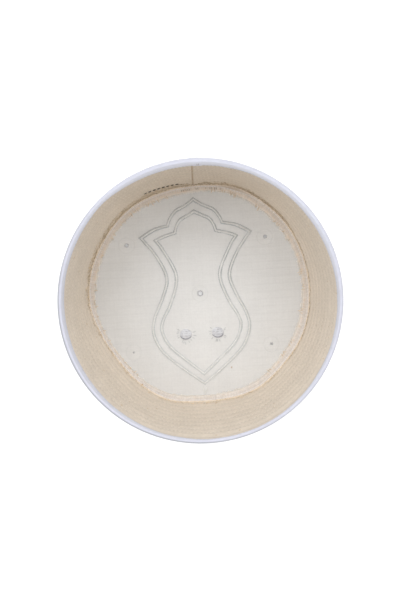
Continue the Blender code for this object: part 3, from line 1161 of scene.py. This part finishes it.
overlock = {
    "columns": 480,
    "thickness": 0.0011,
    "ripple": 0.00018,
    "fray": 0.0010,             # how far the inner edge wanders
    "loops": 330,
    "loopWidth": 0.00052,
    "loopSpan": (0.26, 0.56),   # shares of the edge's width between which the loops lie
    "gathered": 620,            # places round the wall's foot with loose yarns
    "gaps": (89.0, 11.0),       # bearing and half sweep of dark gaps between the loops
    "neat": (270.0, 38.0),      # bearing and half sweep without loose yarns
    "mend": 72.0,               # bearing of the place where the seam was gathered and mended
    "mendStain": 73.0,
    "mendSweep": 13.0,
    "pinkBeige": (0.77, 0.72, 0.675),
    "warmBeige": (0.745, 0.665, 0.585),     # towards the back
    "backBeige": (0.90, 0.79, 0.68),        # right at the back
    "pale": (0.92, 0.89, 0.855),            # thin inner edge fading to the crown's white, partly painted light over the shade where it slopes down to the crown
    "rust": (0.75, 0.565, 0.37),
    "cord": (0.95, 0.85, 0.73),
    "brown": (0.30, 0.21, 0.13),
}


def overlockedCloth():
    # streaks run across it, rust yarns show along its inner half, its inner edge is pale, partly painted
    # light, and the fold at the wall is pale ochre, lightened with painted light against the shade in the
    # corner
    material, place = newCloth("overlockedEdgeCloth", 0.93, 0.2)
    x, y, z = place.parts()
    turn = place.maths("ARCTAN2", y, x)
    back = y / rimRadius
    across = place.attribute("across")

    def runs(stretch):
        return place.node("ShaderNodeCombineXYZ", {}, {0: turn * cap["crownRadius"], 1: across * stretch})

    streak = runs(0.0012).grain(820.0)
    fray = place.grain(330.0, 3.0, 0.6)
    tone = 0.75 * streak + 0.35 * fray + 0.25 * place.grain(70.0)
    warm = back.between(-0.35, 0.25)
    dark = warm.blend(shade(overlock["pinkBeige"], 0.84), shade(overlock["warmBeige"], 0.84))
    light = warm.blend(shade(overlock["pinkBeige"], 1.04), shade(overlock["warmBeige"], 1.04))
    rust = runs(0.0030).grain(260.0, 2.0, 0.6).between(0.50, 0.62)
    edges = across.between(0.30, 0.70) * (0.12 + 0.88 * rust) * (1 - 0.55 * back.fading(-0.78, -0.60))
    mend = turn.near(math.radians(overlock["mendStain"]), math.radians(overlock["mendSweep"]))
    colour = layered(
        tone.between(0.45, 0.95).blend(dark, light),
        (0.38 * edges, overlock["rust"]),
        (0.45 * back.between(0.60, 0.95), overlock["backBeige"]),
        # partly painted light: the inner edge lightened over the shade where it slopes down to the crown
        (0.80 * across.between(0.62, 0.92), overlock["pale"]),
        # partly painted light: the fold at the wall is lightened against the shade in the corner
        (0.75 * across.fading(0.00, 0.09), overlock["cord"]),
        (mend * across.fading(0.20, 0.46) * (0.22 + 0.3 * fray), overlock["brown"]),
    )
    return dress(material, colour, 1.3 * streak + fray, 0.00030, 0.7)


def mendedShare(bearing):
    # 1 where the seam was gathered and mended, right of the back seam
    return 1.0 - ease(abs(apart(bearing, overlock["mend"])) / overlock["mendSweep"])


def edgePlace(bearing, share, height):
    # share runs from 0 at the crown seam to 1 at the frayed inner edge
    width = edgeWidth(bearing) + overlock["fray"] * wobble(bearing, 0.0, 0.0032, 7.0) * max(share, 0.0) ** 3
    radius = seamRadius(bearing) - cap["hair"] - 0.0002 - share * width
    lift = overlock["ripple"] * wobble(bearing, share * 0.01, 0.006, 8.0) * (1.0 - ease(share))
    return radius, cap["felt"] + cap["hair"] + height + lift


def seamEdge():
    # across, from -1 at the inner edge to 0 at the crown seam, and the level in thicknesses
    section = (
        (0.02, 0.0), (-0.99, 0.0), (-1.0, 0.01), (-0.93, 0.09), (-0.79, 0.25), (-0.62, 0.48), (-0.44, 0.74),
        (-0.27, 0.93), (-0.13, 1.00), (-0.04, 1.12), (0.02, 1.45), (0.07, 1.9), (0.12, 2.1), (0.14, 1.0),
    )
    points = [(share / 100, level * overlock["thickness"]) for share, level in section]
    shape = spinSection(points, overlock["columns"])
    share = shape.verts.layers.float.new("across")
    for vert in shape.verts:
        vert[share] = (cap["drum"] - math.hypot(vert.co.x, vert.co.y)) * 100

    def place(bearing, across, height):
        return bearing, *edgePlace(bearing, -across * 100, height)

    carryRound(shape, place)
    finishPiece("seamEdge", shape, [overlockedCloth()], "overlock_thread", "crown_seam_edge")


def isNear(bearing, spot):
    middle, reach = spot
    return abs(apart(bearing, middle)) < reach


def radialStitch(shape, bearing, start, end, slant, width, rise, level):
    # a thread across the seam edge, from one share of its width to another; slant is in degrees
    inner, _ = edgePlace(bearing, end, 0.0)
    outer, height = edgePlace(bearing, start, level)
    along = Matrix.Rotation(math.radians(slant), 2) @ around(bearing).xy
    addStitch(shape, around(bearing, (inner + outer) / 2, height), along, abs(outer - inner), width, rise)


def overlockThreads():
    thick = overlock["thickness"]
    width = overlock["loopWidth"]
    start, end = overlock["loopSpan"]
    count = overlock["loops"]
    loops = bmesh.new()
    frays = bmesh.new()
    gaps = bmesh.new()
    for number in range(count):
        bearing = 360.0 * (number + 0.35 * (chance(number) - 0.5)) / count
        slant = 9.0 + 14.0 * (chance(number, 1) - 0.5)
        radialStitch(loops, bearing, start, end + 0.10 * chance(number, 2), slant, width, 0.00020, thick)
        if isNear(bearing, overlock["gaps"]) and chance(number, 8) > 0.25:
            radialStitch(gaps, bearing + 0.55, 0.34, 0.70, slant, 0.00042, 0.00024, thick + 0.0001)
        loose = chance(number // 3, 3) > 0.62 and chance(number, 4) > 0.4
        if loose and not isNear(bearing, overlock["neat"]):
            reach = 1.02 + 0.20 * chance(number, 5)
            side = 60.0 * (chance(number, 6) - 0.5)
            radialStitch(frays, bearing + 0.45, 0.60, reach, side, 0.00075, 0.00022, thick * 0.55)
    fringe = bmesh.new()
    for number in range(2 * count):
        bearing = 180.0 * (number + 0.9 * (chance(number, 40) - 0.5)) / count
        reach = 1.00 + 0.24 * chance(number, 41) ** 2
        side = 70.0 * (chance(number, 42) - 0.5)
        radialStitch(fringe, bearing, 0.80, reach, side, 0.00042, 0.00020, thick * 0.45)
    finishThread("edgeFringe", fringe, "fringeYarn", (0.92, 0.88, 0.83), 0.85, 0.2)
    finishThread("overlockLoops", loops, "overlockThread", overlock["pinkBeige"], 0.8)
    finishThread("frayedYarns", frays, "frayYarn", (0.84, 0.70, 0.54), 0.85, 0.3)
    finishThread("loopGaps", gaps, "gapThread", (0.42, 0.33, 0.25), 0.85, 0.3)


def seamRuns():
    # a pale ochre cord in the corner to the wall, lightened with painted light against the shade there, pale
    # seam stitches beside it, a chain along the inner edge
    thick = overlock["thickness"]

    def cordShare(bearing, number):
        return -0.01

    def seamShare(bearing, number):
        return 0.19 + 0.04 * wobble(bearing, 0.0, 0.02, 4.0) + 0.20 * mendedShare(bearing)

    def chainShare(bearing, number):
        return 0.90 + 0.05 * (number % 2)

    # piece, place, height, stitches, their length, width and rise, thread, colour, roughness, unevenness
    runs = (
        # the cord's pale colour is partly painted light against the shade in the corner
        ("seamCord", cordShare, thick * 1.55, 236, 0.0025, 0.00080, 0.00040,
         "cordThread", (0.93, 0.81, 0.67), 0.8, 0.25),
        ("seamStitches", seamShare, thick + 0.00006, 215, 0.0030, 0.00070, 0.00026,
         "paleSeamThread", (0.87, 0.83, 0.81), 0.75, 0.12),
        ("chainLoops", chainShare, thick * 0.9, 300, 0.0015, 0.00050, 0.00026,
         "chainThread", (0.90, 0.86, 0.80), 0.8, 0.2),
    )
    for name, share, lift, count, length, width, rise, *thread in runs:

        def lie(bearing, number, across, height, share=share, lift=lift):
            radius, level = edgePlace(bearing, share(bearing, number), lift)
            return bearing, radius - height, level + across

        finishThread(name, stitchRound(count, length, width, rise, lie), *thread)


def wallTacks():
    # a plain run of dark tacking stitches low on the wall, left of the back seam
    tacks = {"from": 101.6, "to": 117.8, "count": 8, "low": 0.0192, "high": 0.0215}
    shape = bmesh.new()
    for share in evenly(tacks["count"] - 1):
        bearing = tacks["from"] + (tacks["to"] - tacks["from"]) * share
        height = tacks["low"] + (tacks["high"] - tacks["low"]) * share
        addWallStitch(shape, bearing, height, 4.0, 0.0024, 0.0015, 0.0005)
    finishThread("wallTacks", shape, "tackThread", (0.07, 0.055, 0.04))


def gatheredFoot():
    # yarns of the wall's backing, gathered and frayed where it goes into the seam
    count = overlock["gathered"]
    brown = bmesh.new()
    pale = bmesh.new()
    for number in range(count):
        bearing = 360.0 * (number + 0.8 * chance(number, 20)) / count
        reach = footHeight(bearing)
        back = 0.5 + 0.5 * math.sin(math.radians(bearing))
        tall = ease((reach - 0.0075) / 0.005) * (1.0 - mendedShare(bearing))
        for layer in range(1 + round(2.4 * tall)):
            mark = number + 700 * layer
            height = cap["felt"] + 0.0012 + reach * (0.05 + 0.85 * chance(mark, 21) ** 1.7)
            length = 0.0016 + 0.0034 * chance(mark, 22)
            tilt = 90.0 + 70.0 * (chance(mark, 23) - 0.5)
            if chance(mark, 24) < 0.15 + 0.85 * back:
                addWallStitch(brown, bearing, height, tilt, length, 0.00050, 0.00022)
            elif chance(mark, 25) < 0.75:
                addWallStitch(pale, bearing, height, tilt, length * 0.8, 0.00060, 0.00022)
    finishThread("gatheredYarns", brown, "brownYarn", (0.58, 0.45, 0.28), 0.9, 0.4)
    finishThread("frayedFoot", pale, "ochreYarn", (0.84, 0.67, 0.43), 0.9, 0.25)


def mendedSeam():
    # two runs of brown herringbone stitches that hold the wall's foot, right of the back seam
    mend = {"runs": ((73.5, 58.0), (55.5, 38.0)), "pitch": 1.5, "lines": (0.0048, 0.0112), "crosses": 0.0072}
    shape = bmesh.new()
    for start, end in mend["runs"]:
        count = round((start - end) / mend["pitch"])
        for number in range(count):
            bearing = start + (end - start) * (number + 0.5) / count
            for line, height in enumerate(mend["lines"]):
                if chance(number + 60 * line, 30) > 0.15:
                    addWallStitch(shape, bearing + 0.4 * line, height, 2.0, 0.0023, 0.0006, 0.00025)
            if chance(number, 31) > 0.25:
                tilt = 62.0 if number % 2 else 118.0
                addWallStitch(shape, bearing, mend["crosses"], tilt, 0.0045, 0.00035, 0.0002)
    finishThread("mendedSeam", shape, "mendThread", (0.56, 0.44, 0.31), 0.8, 0.3)


def strayThreads():
    # loose ends: three pale ones below the heel of the outline, a rust one beside it, a knot on the seam
    pale = bmesh.new()
    rust = bmesh.new()
    heel = onCrown(0.0, -0.0665)
    for number, (x, y) in enumerate(((-0.0011, -0.0030), (0.0013, -0.0034), (0.0001, -0.0058))):
        at = Vector((heel.x + x, heel.y + y, cap["felt"] + 0.0002))
        addStitch(pale, at, Vector((0.15 * (number - 1), 1.0)), 0.0042, 0.00055, 0.0003)
    speck = Vector((0.0233, -0.0524, cap["felt"] + 0.0003))
    addStitch(rust, speck, Vector((0.4, 1.0)), 0.0011, 0.0009, 0.0004)
    knot = around(237.0, *edgePlace(237.0, 0.06, overlock["thickness"] * 1.2))
    addStitch(rust, knot, Vector((1.0, -0.4)), 0.0020, 0.0014, 0.0007)
    finishThread("strayPaleThreads", pale, "strayThread", (0.84, 0.84, 0.80), slot="white_felt")
    finishThread("strayRustThreads", rust, "strayRust", (0.60, 0.44, 0.29))


seamEdge()
overlockThreads()
seamRuns()
wallTacks()
gatheredFoot()
mendedSeam()
strayThreads()
print("cap: crown seam done")


# Floor, light and camera

studio = {
    "floorSize": 6.0,
    "floor": (0.90, 0.90, 0.90, 1.0),
    "floorGlow": 0.18,
    "skyStrength": 0.81,
    "boxDistance": 1.6,
    "boxSize": 0.75,
    "boxes": (                  # degrees from upright towards +X and towards +Y, and watts
        (-33.0, 16.0, 4.9), (33.0, 16.0, 3.0), (-50.0, 0.0, 2.5), (50.0, 0.0, 2.5), (0.0, 42.0, 6.5),
        (0.0, 0.0, 1.3),
    ),
    "cameraDistance": 0.800,
    "tiltBack": 2.76,           # degrees from upright towards the back seam
    "tiltLeft": 0.32,
    "lens": 72.62,
    "shift": (0.00005, 0.00140),
}


def leaning(sideways, back):
    # a direction so many degrees from upright, towards +X and towards +Y
    return Vector((math.tan(math.radians(sideways)), math.tan(math.radians(back)), 1.0)).normalized()


def floor():
    shape = bmesh.new()
    bmesh.ops.create_grid(shape, x_segments=1, y_segments=1, size=studio["floorSize"] / 2)
    mesh = meshOf("studioFloor", shape)
    material = bpy.data.materials.new("paleFloor")
    material.use_nodes = True
    shader = material.node_tree.nodes["Principled BSDF"]
    shader.inputs["Base Color"].default_value = studio["floor"]
    shader.inputs["Roughness"].default_value = 0.9
    shader.inputs["Emission Color"].default_value = (1.0, 1.0, 1.0, 1.0)
    shader.inputs["Emission Strength"].default_value = studio["floorGlow"]
    mesh.materials.append(material)
    ground = linked("studioFloor", mesh)


def lights():
    world = bpy.data.worlds.new("studioSky")
    world.use_nodes = True
    sky = world.node_tree.nodes["Background"]
    sky.inputs["Color"].default_value = (1.0, 1.0, 1.0, 1.0)
    sky.inputs["Strength"].default_value = studio["skyStrength"]
    bpy.context.scene.world = world
    for number, (sideways, back, power) in enumerate(studio["boxes"]):
        lamp = bpy.data.lights.new("softBox%d" % number, "AREA")
        lamp.shape = "SQUARE"
        lamp.size = studio["boxSize"]
        lamp.energy = power
        box = linked("softBox%d" % number, lamp)
        toward = leaning(sideways, back)
        box.location = toward * studio["boxDistance"]
        box.rotation_euler = toward.to_track_quat("Z", "Y").to_euler()


def camera():
    lens = bpy.data.cameras.new("photoCamera")
    lens.lens = studio["lens"]
    lens.shift_x, lens.shift_y = studio["shift"]
    lens.clip_start = 0.01
    lens.clip_end = 20.0
    eye = linked("photoCamera", lens)
    target = Vector((0.0, 0.0, capHeight - 0.001))
    toward = leaning(-studio["tiltLeft"], studio["tiltBack"])
    up = (Vector((0, 1, 0)) - toward * toward.y).normalized()
    eye.location = target + toward * studio["cameraDistance"]
    eye.rotation_euler = Matrix((up.cross(toward), up, toward)).transposed().to_euler()
    bpy.context.scene.camera = eye


floor()
lights()
camera()
bpy.context.scene.view_settings.view_transform = "Standard"
print("cap: studio done")
